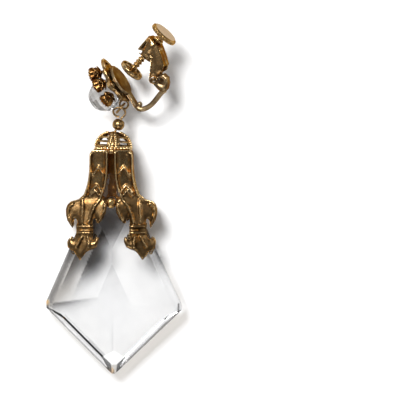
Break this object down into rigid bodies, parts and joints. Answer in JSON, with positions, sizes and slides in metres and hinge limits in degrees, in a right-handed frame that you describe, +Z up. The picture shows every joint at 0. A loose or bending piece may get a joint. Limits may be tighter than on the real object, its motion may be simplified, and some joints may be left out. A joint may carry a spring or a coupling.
{
  "type": "chandelier clip earring",
  "caption": "Chandelier screw-clip earring: a large kite-cut crystal in a fleur-de-lis cap, hung from a pierced dome, bead and flower cluster.",
  "frame": {"origin": "bottom centre of the bounding box of the earring as it lies on a table", "axes": "+Z up from the table, -Y towards the crystal's lower corner, +Y and +X towards the clip's thumb screw"},
  "size_m": [0.0298, 0.077, 0.0139],
  "materials": {
    "antique_brass": "cast and stamped brass, darkened in the recesses and polished on the high parts",
    "pale_brass": "lighter satin brass",
    "crystal_glass": "clear polished cut glass",
    "stone_glass": "clear polished cut glass"
  },
  "bodies": {
    "earring": {"crystal_drop": "crystal_glass", "fleur_cap": "antique_brass", "crystal_pin": "pale_brass", "filigree_dome": "antique_brass", "link_bead": "antique_brass", "eye_pin": "antique_brass", "link_ring": "antique_brass", "flower_plate": "antique_brass", "large_stone": "stone_glass", "floret_top": "antique_brass", "floret_middle": "antique_brass", "floret_lower": "antique_brass", "clip_base": "antique_brass", "hinge_pin": "antique_brass"},
    "paddle": {"clip_paddle": "antique_brass"},
    "pad": {"screw_pad": "antique_brass"},
    "screw": {"thumb_screw": "pale_brass"}
  },
  "joints": [
    {"name": "paddle_hinge", "type": "hinge", "parent": "earring", "child": "paddle", "pos_m": [0.00926, 0.02639, 0.0086], "axis": [-0.2621, -0.1638, 0.9511], "range_deg": [-55, 8]},
    {"name": "pad_slide", "type": "slide", "parent": "paddle", "child": "pad", "axis": [0.6494, 0.6991, 0.2993], "range_m": [-0.0002, 0.0036]},
    {"name": "screw_turn", "type": "hinge", "parent": "pad", "child": "screw", "pos_m": [0.00556, 0.03, 0.0082], "axis": [0.6494, 0.6991, 0.2993], "range_deg": [-91, 1621]}
  ],
  "couplings": [
    {"joint": "screw_turn", "follows": "pad_slide", "rad_per_m": 7854.2}
  ]
}
